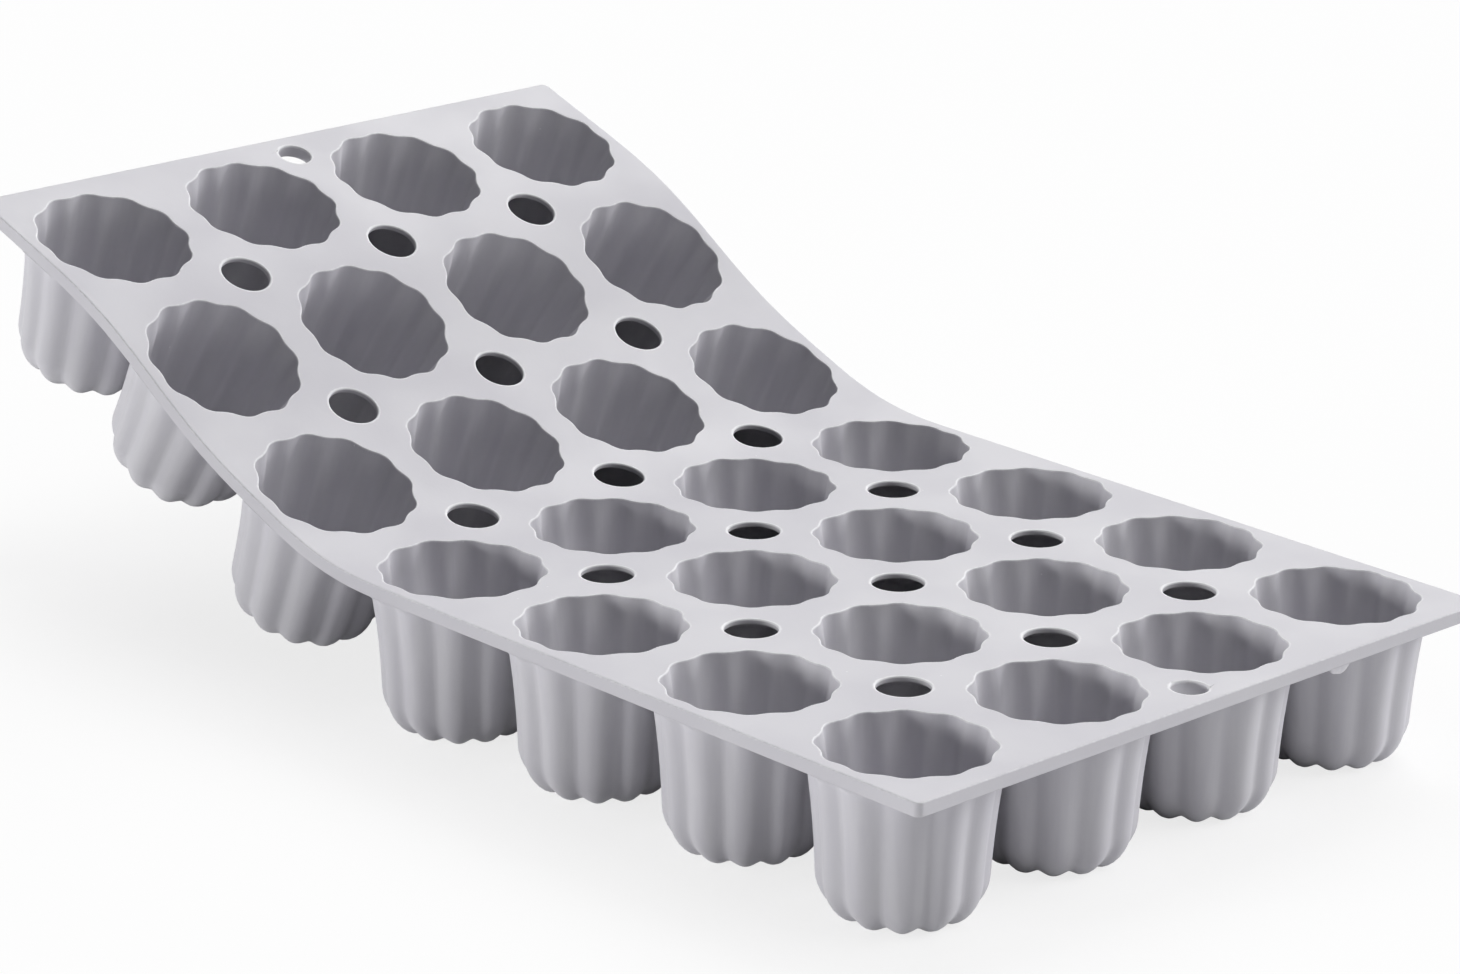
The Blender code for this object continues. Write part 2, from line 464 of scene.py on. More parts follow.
@dataclass
class FlutedCup:
    """One fluted cup, with the rounded lip of its mouth, modelled once and laid under every mouth.

    A flute is as deep as its valleys lie behind its tips. A draft is how far a wall slopes inwards by
    its depth, and an easing how much less it does so further down.
    """

    plan: MouldPlan
    lip_round: float = 0.0002
    lip_land: float = 0.00015
    seat: float = 0.00015
    inner_draft: float = 0.14
    inner_easing: float = 1.3
    outer_top_radius: float = 0.01899
    outer_draft: float = 0.161
    outer_easing: float = 2.6
    outer_flute: float = 0.001
    under_flute: float = 0.0003
    under_round: float = 0.0018
    foot_height: float = 0.008
    foot_width: float = 0.006
    foot_fullness: float = 1.75
    inner_foot_height: float = 0.0065
    inner_foot_width: float = 0.005
    floor: float = 0.002
    fade_radius: float = 0.0072
    middle_share: float = 0.25
    deep_flute: float = 0.0014
    deep_keenness: float = 0.7
    deepening: float = 0.005
    tip_share: float = 0.5
    soft_valley: float = 0.5
    keen_valley: float = 0.14
    # Strength of the painted highlight on the lip's rounding.
    lip_highlight: float = 0.5
    settle: float = 0.010
    lip_steps: int = 4
    under_steps: int = 6
    wall_steps: int = 14
    foot_steps: int = 8
    floor_steps: int = 3

    @property
    def inner_flute(self) -> float:
        """How far the valleys of the inner face lie behind the tips."""
        return 2 * self.plan.mouth_lobe

    @property
    def lip_radius(self) -> float:
        """Radius at the tips of the lip's outer edge, where the sheet takes over."""
        return self.plan.mouth_reach + self.lip_round + self.lip_land

    def inner_wall(self, depth: float) -> float:
        """Radius of the inner face at the tips."""
        return self.plan.mouth_reach - self.inner_draft * depth + self.inner_easing * depth**2

    def outer_wall(self, depth: float) -> float:
        """Radius of the outer face at the tips."""
        below = depth - self.plan.sheet
        return self.outer_top_radius - self.outer_draft * below + self.outer_easing * below**2

    def base(self, wall: Callable[[float], float], floor: float, width: float, height: float,
             flute: float, keen: float) -> list[SectionPoint]:
        """Rings of a flat floor and of the rounded foot round it, from the middle up to the wall.

        Args:
            wall: Gives the wall's radius at a depth.
            floor: Depth of the floor.
            width: Width of the foot's rounding.
            height: Height of the foot's rounding.
            flute: Depth of the flutes.
            keen: How sharp their valleys are.

        Returns:
            The rings.
        """
        reach = wall(floor - height)
        edge = reach - width
        rings = []
        for step in range(1, self.floor_steps + 1):
            share = step / (self.floor_steps + 1)
            radius = edge * (self.middle_share + (1 - self.middle_share) * share)
            swell = ease((radius - self.fade_radius) / (edge - self.fade_radius))
            rings.append(SectionPoint(radius, floor, flute * swell, math.pi / 2, keen))
        for turn in reversed(quarter_turns(self.foot_steps)):
            inwards = math.cos(turn) ** (2 / self.foot_fullness)
            down = math.sin(turn) ** (2 / self.foot_fullness)
            lean = math.atan2(down ** (self.foot_fullness - 1) * width,
                              inwards ** (self.foot_fullness - 1) * height)
            rings.append(SectionPoint(reach - width * (1 - inwards), floor - height + height * down,
                                      flute, lean, keen))
        return rings

    def inner_section(self) -> list[SectionPoint]:
        """Work out the inner face.

        Returns:
            Rings from the middle of the floor up to the outer edge of the lip.
        """
        bottom = self.plan.cup_depth - self.floor
        rings = self.base(self.inner_wall, bottom, self.inner_foot_width, self.inner_foot_height,
                          self.deep_flute, self.deep_keenness)
        foot = bottom - self.inner_foot_height
        flute = self.inner_flute
        for step in range(1, self.wall_steps + 1):
            depth = foot + (self.lip_round - foot) * step / self.wall_steps
            deep = ease((depth - self.lip_round) / self.deepening)
            deepened = flute + (self.deep_flute - flute) * deep
            rings.append(SectionPoint(self.inner_wall(depth), depth, deepened,
                                      keen=self.deep_keenness * deep))
        start = self.inner_wall(self.lip_round)
        end = self.plan.mouth_reach + self.lip_round
        for turn in quarter_turns(self.lip_steps)[1:]:
            radius = start + (end - start) * (1 - math.cos(turn))
            rings.append(SectionPoint(radius, self.lip_round * (1 - math.sin(turn)), flute))
        return rings + [SectionPoint(self.lip_radius, 0.0, flute)]

    def outer_section(self) -> list[SectionPoint]:
        """Work out the outer face.

        Returns:
            Rings from the lip through the sheet's thickness and down to the middle.
        """
        plan = self.plan
        inside = plan.sheet - self.seat
        foot = plan.cup_depth - self.foot_height
        top = plan.sheet + self.under_round
        wall = self.outer_wall(top)
        rings = [SectionPoint(self.lip_radius, inside, self.inner_flute),
                 SectionPoint(wall + self.under_round, inside, self.under_flute, keen=1.0)]
        for turn in quarter_turns(self.under_steps):
            radius = wall + self.under_round * (1 - math.sin(turn))
            depth = plan.sheet + self.under_round * (1 - math.cos(turn))
            flute = self.under_flute + (self.outer_flute - self.under_flute) * math.sin(turn)
            rings.append(SectionPoint(radius, depth, flute, keen=1.0))
        for step in range(1, self.wall_steps):
            depth = top + (foot - top) * step / self.wall_steps
            rings.append(SectionPoint(self.outer_wall(depth), depth, self.outer_flute, keen=1.0))
        return rings + self.base(self.outer_wall, plan.cup_depth, self.foot_width, self.foot_height,
                                 self.outer_flute, 1.0)[::-1]

    def crest(self, angles: np.ndarray, keen: float) -> np.ndarray:
        """Height of the flutes round a ring, 1 at the tips and 0 in the valleys.

        Args:
            angles: Angles round the cup's axis. A valley lies on +X.
            keen: How sharp the valleys are.

        Returns:
            The heights.
        """
        tip = self.tip_share
        valley = self.soft_valley + (self.keen_valley - self.soft_valley) * keen
        full = 1 - valley / 2 - tip / 2
        share = np.arccos(np.cos(self.plan.lobes * angles)) / math.pi
        rounded_valley = share**2 / (2 * valley)
        rounded_tip = full - (1 - share) ** 2 / (2 * tip)
        flank = share - valley / 2
        return np.select([share > 1 - tip, share < valley], [rounded_tip, rounded_valley], flank) / full

    def model(self) -> Object:
        """Extrude a circle from ring to ring along the section, close it and press the flutes.

        Returns:
            The cup in flat places, with its axis at station 0 and across 0.
        """
        plan = self.plan
        rings = self.inner_section() + self.outer_section()
        height = [plan.sheet / 2 - ring.depth for ring in rings]
        cup = Bench.start(bpy.ops.mesh.primitive_circle_add, vertices=plan.points,
                          radius=rings[0].radius, location=(0, 0, height[0]))
        bpy.ops.object.transform_apply(location=True, rotation=False, scale=False)
        with Bench.edit(cup):
            for index in range(1, len(rings)):
                climb = height[index] - height[index - 1]
                spread = rings[index].radius / rings[index - 1].radius
                bpy.ops.mesh.extrude_edges_move(TRANSFORM_OT_translate={"value": (0, 0, climb)})
                bpy.ops.transform.resize(value=(spread, spread, 1),
                                         center_override=(0, 0, height[index]))
            for level in (height[0], height[-1]):
                self.close_pole(cup, level)
        self.press_flutes(cup, rings)
        with Bench.edit(cup):
            bpy.ops.mesh.normals_make_consistent(inside=False)
        return cup

    def close_pole(self, cup: Object, level: float) -> None:
        """Fill an open ring with a fan of triangles, in edit mode.

        Args:
            cup: Cup in edit mode.
            level: Height of the ring.
        """
        def on_level(edge: bmesh.types.BMEdge) -> bool:
            """Whether an edge is open and lies at the height."""
            level_ends = [abs(point.co.z - level) < MERGE_DISTANCE for point in edge.verts]
            return edge.is_boundary and all(level_ends)

        Bench.select_edges(cup, on_level)
        bpy.ops.mesh.edge_face_add()
        bpy.ops.mesh.poke()

    def press_flutes(self, cup: Object, rings: Sequence[SectionPoint]) -> None:
        """Draw the valleys back from the tips, and store how far it is from the lip.

        Args:
            cup: Cup whose rings are still round.
            rings: Its rings, in the order of its points.
        """
        places = Bench.places(cup)
        gap = np.ones(len(places))
        for index, ring in enumerate(rings):
            chosen = slice(index * self.plan.points, (index + 1) * self.plan.points)
            angles = np.arctan2(places[chosen, 1], places[chosen, 0])
            drawn = ring.flute * (1 - self.crest(angles, ring.keen))
            radius = ring.radius - drawn * math.cos(ring.lean)
            places[chosen, 0] = radius * np.cos(angles)
            places[chosen, 1] = radius * np.sin(angles)
            places[chosen, 2] += drawn * math.sin(ring.lean)
            gap[chosen] = math.hypot(ring.radius - self.plan.mouth_reach, ring.depth)
        Bench.set_places(cup, places)
        # The distance from the mouth's edge places the painted highlight on the lip.
        Bench.keep_attribute(cup, RIM_GAP, gap + Rim.added_gap(self.lip_highlight))

    def lay(self, pattern: Object, curve: SheetCurve, row: int, column: int) -> Object:
        """Copy the cup to its mouth, curved with the sheet above and square to its row below.

        Args:
            pattern: The cup in flat places.
            curve: Curve of the flexed mould.
            row: Its row.
            column: Its column.

        Returns:
            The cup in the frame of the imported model.
        """
        plan = self.plan
        cup = Bench.copy(pattern, f"fluted_cup_r{row}_c{column}")
        places = Bench.places(cup) + np.array([plan.row_station(row), plan.column_place(column), 0.0])
        places[:, 1] = np.clip(places[:, 1], -plan.half_width, plan.half_width)
        Bench.keep_attribute(cup, FLAT_PLACE, places)
        square = ease((-plan.sheet / 2 - places[:, 2]) / self.settle)[:, None]
        curved = curve.lay(places)
        rigid = curve.lay_square(places, plan.row_station(row))
        Bench.set_places(cup, curved + (rigid - curved) * square)
        Bench.smooth(cup)
        return cup


@dataclass(frozen=True)
class Rim:
    """An edge of the sheet.

    Attributes:
        gap: Gives the distance of flat places from the rim, along the sheet.
        rim_highlight: How strongly its edge is painted pale as a highlight, from 0 to 1.
        rounded: Whether the sheet's own edge is rounded there.
    """

    gap: Callable[[np.ndarray], np.ndarray]
    rim_highlight: float
    rounded: bool = True

    @staticmethod
    def added_gap(rim_highlight: float) -> float:
        """Distance by which a rim with a weaker painted highlight counts as further away."""
        return NO_HIGHLIGHT_DISTANCE * (1 - rim_highlight)

    def highlight_gap(self, places: np.ndarray, top: float) -> np.ndarray:
        """Distance from the rim's edge on the top face, made greater where the rim's painted highlight
        is weaker.
        """
        return np.hypot(self.gap(places), top - places[:, 2]) + self.added_gap(self.rim_highlight)


@dataclass
class FlutedSheet:
    """The sheet round the mouths, modelled flat and cut along the rows' centre lines.

    A strip reaches from one row's centre line to the next and bends between the two rows. An end piece
    reaches from an end row's centre line to the end of the sheet.
    """

    plan: MouldPlan
    lip_radius: float
    lip_flute: float
    lip_crest: Callable[[np.ndarray, float], np.ndarray]
    rim_round: float = 0.0003
    rim_steps: int = 3
    rim_land: float = 0.0005
    rings: int = 7
    net_rounds: int = 120
    lug_steps: int = 5
    bend_reach: float = 0.0032
    web: float = 0.00125
    web_reach: float = 0.0069
    web_edge: float = 0.0088
    # Strengths of the painted highlight along the vents and hanging holes, the mouths and the outer
    # edges.
    hole_highlight: float = 1.0
    lip_highlight: float = 0.5
    side_highlight: float = 0.3

    @property
    def hole_station(self) -> float:
        """Distance of a hanging hole from its row's centre line."""
        return self.plan.end_margin - self.plan.hang_hole_inset

    @staticmethod
    def run(start: Flat, end: Flat, steps: int) -> list[Flat]:
        """Divide a straight stretch.

        Args:
            start: Where it starts.
            end: Where it ends.
            steps: How many parts.

        Returns:
            Points along it, without its start.
        """
        shares = [step / steps for step in range(1, steps + 1)]
        return [(start[0] + (end[0] - start[0]) * share, start[1] + (end[1] - start[1]) * share)
                for share in shares]

    @staticmethod
    def arc(centre: Flat, radius: float, start: float, end: float, steps: int) -> list[Flat]:
        """Divide an arc.

        Args:
            centre: Its centre.
            radius: Its radius.
            start: Angle of its start, in degrees.
            end: Angle of its end, in degrees.
            steps: How many parts.

        Returns:
            Points along it, without its start.
        """
        turns = [math.radians(start + (end - start) * step / steps) for step in range(1, steps + 1)]
        return [(centre[0] + radius * math.cos(turn), centre[1] + radius * math.sin(turn))
                for turn in turns]

    def border(self, corner: Corner) -> list[Flat]:
        """Outer edge of a quarter of the sheet round a mouth.

        Args:
            corner: What lies at the quarter's corner.

        Returns:
            Points from the line through the mouth along the mould to the line across it, as many as
            round a quarter of the lip.
        """
        plan = self.plan
        steps = EDGE_STEPS[corner]
        between_rows = corner in (Corner.VENT, Corner.STRIP_END)
        beside_side = corner in (Corner.STRIP_END, Corner.SHEET_CORNER)
        reach = plan.row_pitch / 2 if between_rows else plan.end_margin
        side = plan.side_margin if beside_side else plan.column_pitch / 2
        start, last = (reach, 0.0), (0.0, side)
        if corner is Corner.VENT:
            vent = plan.vent_diameter / 2
            path = (self.run(start, (reach, side - vent), steps[0])
                    + self.arc((reach, side), vent, -90, -180, steps[1])
                    + self.run((reach - vent, side), last, steps[2]))
        elif corner is Corner.HANG_HOLE:
            hole = plan.hang_hole_diameter / 2
            slant = hole * math.sqrt(0.5)
            turn = (reach, side - plan.hang_hole_inset)
            path = (self.run(start, turn, steps[0])
                    + self.run(turn, (self.hole_station + slant, side - slant), steps[1])
                    + self.arc((self.hole_station, side), hole, -45, -180, steps[2])
                    + self.run((self.hole_station - hole, side), last, steps[3]))
        elif corner is Corner.SHEET_CORNER:
            rounding = plan.corner_radius
            centre = (reach - rounding, side - rounding)
            path = (self.run(start, (reach, centre[1]), steps[0])
                    + self.arc(centre, rounding, 0, 90, steps[1])
                    + self.run((centre[0], side), last, steps[2]))
        else:
            turn = (reach, side)
            path = self.run(start, turn, steps[0]) + self.run(turn, last, steps[1])
        return [start] + path

    def spread_net(self, lip: np.ndarray, edge: np.ndarray) -> np.ndarray:
        """Spread a net from a lip to an outer edge, whose lines bend round the edge and never cross.

        Args:
            lip: Points of the lip.
            edge: Points of the outer edge.

        Returns:
            Places by point along the edge and by ring. The last ring keeps the land's width throughout.
        """
        step = np.gradient(edge, axis=0)
        step /= np.linalg.norm(step, axis=1, keepdims=True)
        land = edge + self.rim_land * np.stack([-step[:, 1], step[:, 0]], axis=1)
        share = np.linspace(0, 1, self.rings)[None, :, None]
        net = lip[:, None] + (land - lip)[:, None] * share
        for _ in range(self.net_rounds):
            along = (net[2:, 1:-1] - net[:-2, 1:-1]) / 2
            outwards = (net[1:-1, 2:] - net[1:-1, :-2]) / 2
            stretch_out = (outwards ** 2).sum(axis=2, keepdims=True)
            stretch_along = (along ** 2).sum(axis=2, keepdims=True)
            slant = (along * outwards).sum(axis=2, keepdims=True)
            twist = net[2:, 2:] - net[:-2, 2:] - net[2:, :-2] + net[:-2, :-2]
            pull = (stretch_out * (net[2:, 1:-1] + net[:-2, 1:-1])
                    + stretch_along * (net[1:-1, 2:] + net[1:-1, :-2]) - slant * twist / 2)
            net[1:-1, 1:-1] = pull / (2 * (stretch_out + stretch_along))
        return np.concatenate([net, edge[:, None]], axis=1)

    def lip(self, angles: np.ndarray) -> np.ndarray:
        """Radius at which the sheet meets a lip, by the angle round the mouth."""
        return self.lip_radius - self.lip_flute * (1 - self.lip_crest(angles, 0.0))

    def quarter_net(self, corner: Corner) -> np.ndarray:
        """Work out the net of one quarter of the sheet round a mouth.

        Args:
            corner: What lies at the quarter's corner.

        Returns:
            Places by point and by ring, from the lip to the outer edge.
        """
        angles = np.array(quarter_turns(self.plan.quarter_points))
        radius = self.lip(angles)
        lip = np.stack([radius * np.cos(angles), radius * np.sin(angles)], axis=1)
        return self.spread_net(lip, np.array(self.border(corner)))

    def lug_net(self) -> np.ndarray:
        """Work out the net between a hanging hole and the end of the sheet.

        Returns:
            Places by point and by ring, from the hole to the end.
        """
        plan = self.plan
        hole = (self.hole_station, plan.column_pitch / 2)
        turn = (plan.end_margin, hole[1])
        radius = plan.hang_hole_diameter / 2
        inner = np.array([(hole[0] + radius, hole[1])] + self.arc(hole, radius, 0, -45, self.lug_steps))
        foot = (turn[0], turn[1] - plan.hang_hole_inset)
        outer = np.array([turn] + self.run(turn, foot, self.lug_steps))
        share = np.linspace(0, 1, EDGE_STEPS[Corner.HANG_HOLE][1] + 1)[None, :, None]
        return (inner[:, None] + (outer - inner)[:, None] * share)[::-1]

    def patch(self, net: np.ndarray, station: float, column: int, along: int, across: int) -> Object:
        """Shape a grid to a net beside a mouth.

        Args:
            net: Places beside a mouth by point and by ring, for the quarter that faces +X and +Y.
            station: Station of the mouth.
            column: Column of the mouth.
            along: Way that the patch faces along the stations, -1 or 1.
            across: Way that it faces across the mould, -1 or 1.

        Returns:
            The patch, facing up, in flat places.
        """
        steps, rings = net.shape[0] - 1, net.shape[1] - 1
        patch = Bench.start(bpy.ops.mesh.primitive_grid_add, x_subdivisions=steps,
                            y_subdivisions=rings, size=1)
        grid = Bench.places(patch)
        around = np.rint((grid[:, 0] + 0.5) * steps).astype(int)
        ring = np.rint((grid[:, 1] + 0.5) * rings).astype(int)
        if along * across > 0:
            around = steps - around
        spot = net[around, ring] * (along, across)
        places = np.column_stack([spot + (station, self.plan.column_place(column)),
                                  np.full(len(grid), self.plan.sheet / 2)])
        Bench.set_places(patch, places)
        return patch

    def corner(self, column: int, across: int, at_end: bool) -> Corner:
        """Find what lies at the corner of a quarter.

        Args:
            column: Column of the mouth.
            across: Way across the mould, -1 or 1.
            at_end: Whether the quarter meets the end of the sheet.

        Returns:
            The kind of corner.
        """
        if not 1 <= column + across <= self.plan.columns:
            return Corner.SHEET_CORNER if at_end else Corner.STRIP_END
        if not at_end:
            return Corner.VENT
        beside_middle = column + across / 2 == (self.plan.columns + 1) / 2
        return Corner.HANG_HOLE if beside_middle else Corner.PLAIN

    def half_row(self, station: float, along: int, at_end: bool = False) -> list[Object]:
        """Patches on one side of a row's centre line.

        Args:
            station: Station of the row.
            along: Side of the centre line, -1 or 1.
            at_end: Whether the sheet ends on that side.

        Returns:
            The patches.
        """
        patches = []
        for column in range(1, self.plan.columns + 1):
            for across in (-1, 1):
                corner = self.corner(column, across, at_end)
                nets = [self.quarter_net(corner)] + [self.lug_net()] * (corner is Corner.HANG_HOLE)
                patches += [self.patch(net, station, column, along, across) for net in nets]
        return patches

    def thicken(self, piece: Object, rims: Sequence[Rim]) -> Object:
        """Give a flat piece the sheet's thickness, round its rims and store how far they are.

        Args:
            piece: Flat piece that faces up.
            rims: Its rims.

        Returns:
            The piece, closed.
        """
        Bench.apply(piece, "SOLIDIFY", thickness=self.plan.sheet, offset=-1)
        face = self.plan.sheet / 2 - MERGE_DISTANCE

        def on_rim(edge: bmesh.types.BMEdge) -> bool:
            """Tell whether an edge lies on a rounded rim of the top or the bottom face.

            Args:
                edge: Edge of the piece.

            Returns:
                Whether it does.
            """
            ends = np.array([point.co for point in edge.verts])
            level = ends[0, 2] * ends[1, 2] > 0 and (np.abs(ends[:, 2]) > face).all()
            return bool(level) and any((rim.gap(ends) < MERGE_DISTANCE).all()
                                       for rim in rims if rim.rounded)

        with Bench.edit(piece, "EDGE"):
            Bench.select_edges(piece, on_rim)
            bpy.ops.mesh.bevel(offset=self.rim_round, segments=self.rim_steps, affect="EDGES")
        places = Bench.places(piece)
        # The distance from the nearest rim places the painted highlight along the rims.
        gaps = [rim.highlight_gap(places, self.plan.sheet / 2) for rim in rims]
        Bench.keep_attribute(piece, RIM_GAP, np.min(gaps, axis=0))
        return piece

    def hole_rim(self, centres: Sequence[Flat], radius: float) -> Rim:
        """Rims of some round holes.

        Args:
            centres: Centres of the holes.
            radius: Their radius.

        Returns:
            The rims.
        """
        def gap(places: np.ndarray) -> np.ndarray:
            """Distance of flat places from the nearest hole."""
            gaps = [np.abs(np.hypot(places[:, 0] - x, places[:, 1] - y) - radius) for x, y in centres]
            return np.min(gaps, axis=0)

        return Rim(gap, self.hole_highlight)

    def lip_rim(self, stations: Sequence[float]) -> Rim:
        """Rims of the mouths of some rows, whose rounding belongs to the cups.

        Args:
            stations: Stations of the rows.

        Returns:
            The rims.
        """
        def gap(places: np.ndarray) -> np.ndarray:
            """Measure how far flat places are from the nearest mouth.

            Args:
                places: Rows of station, place across and height.

            Returns:
                The distances.
            """
            gaps = []
            for station in stations:
                for column in range(1, self.plan.columns + 1):
                    along = places[:, 0] - station
                    across = places[:, 1] - self.plan.column_place(column)
                    lip = self.lip(np.arctan2(across, along)) + self.plan.mouth_reach - self.lip_radius
                    gaps.append(np.abs(np.hypot(along, across) - lip))
            return np.min(gaps, axis=0)

        return Rim(gap, self.lip_highlight, rounded=False)

    def thin_webs(self, strip: Object, vents: Sequence[Flat]) -> None:
        """Hollow the sheet from below round its vents, down to a thin web.

        Args:
            strip: Strip in flat places.
            vents: Centres of its vents.
        """
        places = Bench.places(strip)
        reach = np.min([np.hypot(places[:, 0] - x, places[:, 1] - y) for x, y in vents], axis=0)
        hollow = 1 - ease((reach - self.web_reach) / (self.web_edge - self.web_reach))
        places[:, 2] += (places[:, 2] < 0) * hollow * (self.plan.sheet - self.web)
        Bench.set_places(strip, places)

    def model_strip(self) -> Object:
        """Model the sheet between two rows.

        Returns:
            The strip in flat places, its bending line on station 0.
        """
        plan = self.plan
        half = plan.row_pitch / 2
        strip = Bench.join(self.half_row(-half, 1) + self.half_row(half, -1))
        vents = [(0.0, plan.column_place(column + 0.5)) for column in range(1, plan.columns)]

        def side_gap(places: np.ndarray) -> np.ndarray:
            """Distance of flat places from the nearer long side."""
            return np.abs(plan.half_width - np.abs(places[:, 1]))

        self.thicken(strip, [self.hole_rim(vents, plan.vent_diameter / 2),
                             self.lip_rim((-half, half)), Rim(side_gap, self.side_highlight)])
        self.thin_webs(strip, vents)
        return strip

    def model_end(self, end: End) -> Object:
        """Model an end of the sheet.

        Args:
            end: Which end.

        Returns:
            The piece in flat places, its row's centre line on station 0.
        """
        plan = self.plan
        piece = Bench.join(self.half_row(0.0, end.value, at_end=True))
        hole = [(end.value * self.hole_station, 0.0)]
        rounding = plan.corner_radius

        def outline_gap(places: np.ndarray) -> np.ndarray:
            """Measure how far flat places are from the outline of the end.

            Args:
                places: Rows of station, place across and height.

            Returns:
                The distances.
            """
            along = end.value * places[:, 0] - (plan.end_margin - rounding)
            across = np.abs(places[:, 1]) - (plan.half_width - rounding)
            return np.abs(np.hypot(np.maximum(along, 0), np.maximum(across, 0)) - rounding)

        return self.thicken(piece, [self.hole_rim(hole, plan.hang_hole_diameter / 2),
                                    self.lip_rim((0.0,)), Rim(outline_gap, self.side_highlight)])

    def lay(self, pattern: Object, curve: SheetCurve, name: str, station: float) -> Object:
        """Copy a flat piece and lay it on the curve.

        Args:
            pattern: Piece in flat places.
            curve: Curve of the flexed mould.
            name: Name of the copy.
            station: Station for the pattern's own station 0.

        Returns:
            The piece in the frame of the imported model.
        """
        piece = Bench.copy(pattern, name)
        places = Bench.places(piece) + np.array([station, 0.0, 0.0])
        Bench.keep_attribute(piece, FLAT_PLACE, places)
        Bench.set_places(piece, curve.lay(places))
        Bench.smooth(piece)
        return piece

    def bend_with_rows(self, strip: Object, curve: SheetCurve, row: int) -> None:
        """Work out the ends of the bending line between a strip's two rows, which are not used, and
        bake the strip's placement into its mesh.

        Args:
            strip: Strip laid on the curve.
            curve: Curve of the flexed mould.
            row: The lower of its two rows.
        """
        middle = self.plan.row_station(row + 0.5)
        start, end = (tuple(curve.spot(middle + way * self.bend_reach)) for way in (-1, 1))
        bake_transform(strip)


def operator(operation: str, swapped: bool = False) -> Callable[..., "Value"]:
    """Make a method that adds a Math node.

    Args:
        operation: Operation of the node.
        swapped: Whether its terms are swapped, for the form with a number first.

    Returns:
        The method.
    """
    def apply(*terms: Any) -> "Value":
        """Value of the node."""
        inputs = dict(enumerate(terms[::-1] if swapped else terms))
        return terms[0].board.value("ShaderNodeMath", {"operation": operation}, inputs)

    return apply


class Value:
    """A number that varies over a surface. Python's operators on it add Math nodes."""

    __add__ = operator("ADD")
    __radd__ = operator("ADD", swapped=True)
    __sub__ = operator("SUBTRACT")
    __rsub__ = operator("SUBTRACT", swapped=True)
    __mul__ = operator("MULTIPLY")
    __rmul__ = operator("MULTIPLY", swapped=True)
    __abs__ = operator("ABSOLUTE")
    __lt__ = operator("LESS_THAN")
    at_least = operator("MAXIMUM")

    def __init__(self, board: "NodeBoard", socket: bpy.types.NodeSocket) -> None:
        """Wrap an output socket of a board's node."""
        self.board = board
        self.socket = socket

    def spread(self, low: float, high: float) -> "Value":
        """Stretch the range from low to high smoothly to the range from 0 to 1."""
        return self.board.value("ShaderNodeMapRange", {"interpolation_type": "SMOOTHSTEP"},
                                {"Value": self, "From Min": low, "From Max": high})


class NodeBoard:
    """The node tree of one material or world."""

    def __init__(self, owner: bpy.types.ID) -> None:
        """Start an empty tree.

        Args:
            owner: Material or world that has it.
        """
        owner.use_nodes = True
        self.tree = owner.node_tree
        self.tree.nodes.clear()

    def node(self, kind: str, settings: Mapping[str, Any] | None = None,
             inputs: Mapping[Any, Any] | None = None) -> bpy.types.Node:
        """Add a node.

        Args:
            kind: Its type.
            settings: Its own settings, which are set first.
            inputs: Values or links of its sockets, by index, identifier or name.

        Returns:
            The node.
        """
        node = self.tree.nodes.new(kind)
        for name, setting in (settings or {}).items():
            setattr(node, name, setting)
        for key, value in (inputs or {}).items():
            socket = self.socket(node, key)
            if isinstance(value, Value):
                value = value.socket
            if isinstance(value, bpy.types.NodeSocket):
                self.tree.links.new(value, socket)
            elif isinstance(value, tuple) and socket.type == "RGBA":
                socket.default_value = (*value, 1.0)
            else:
                socket.default_value = value
        return node

    @staticmethod
    def socket(node: bpy.types.Node, key: Any) -> bpy.types.NodeSocket:
        """Find an input socket.

        Args:
            node: Node that has it.
            key: Its index, identifier or name.

        Returns:
            The socket.
        """
        if isinstance(key, int):
            return node.inputs[key]
        for socket in node.inputs:
            if socket.identifier == key:
                return socket
        return node.inputs[key]

    def value(self, kind: str, settings: Mapping[str, Any], inputs: Mapping[Any, Any],
              output: Any = 0) -> Value:
        """Add a node and take one of its outputs.

        Args:
            kind: Its type.
            settings: Its own settings.
            inputs: Values or links of its sockets.
            output: Output to take.

        Returns:
            The output as a value.
        """
        return Value(self, self.node(kind, settings, inputs).outputs[output])

    def blend_colours(self, share: Any, first: Any, second: Any) -> bpy.types.NodeSocket:
        """Blend two colours.

        Args:
            share: Share of the second.
            first: First colour.
            second: Second colour.

        Returns:
            The blended colour.
        """
        node = self.node("ShaderNodeMix", {"data_type": "RGBA"},
                         {"Factor_Float": share, "A_Color": first, "B_Color": second})
        return next(socket for socket in node.outputs if socket.identifier == "Result_Color")

    def attribute(self, name: str, output: str) -> Value:
        """An attribute of the piece's points."""
        return self.value("ShaderNodeAttribute", {"attribute_name": name}, {}, output)


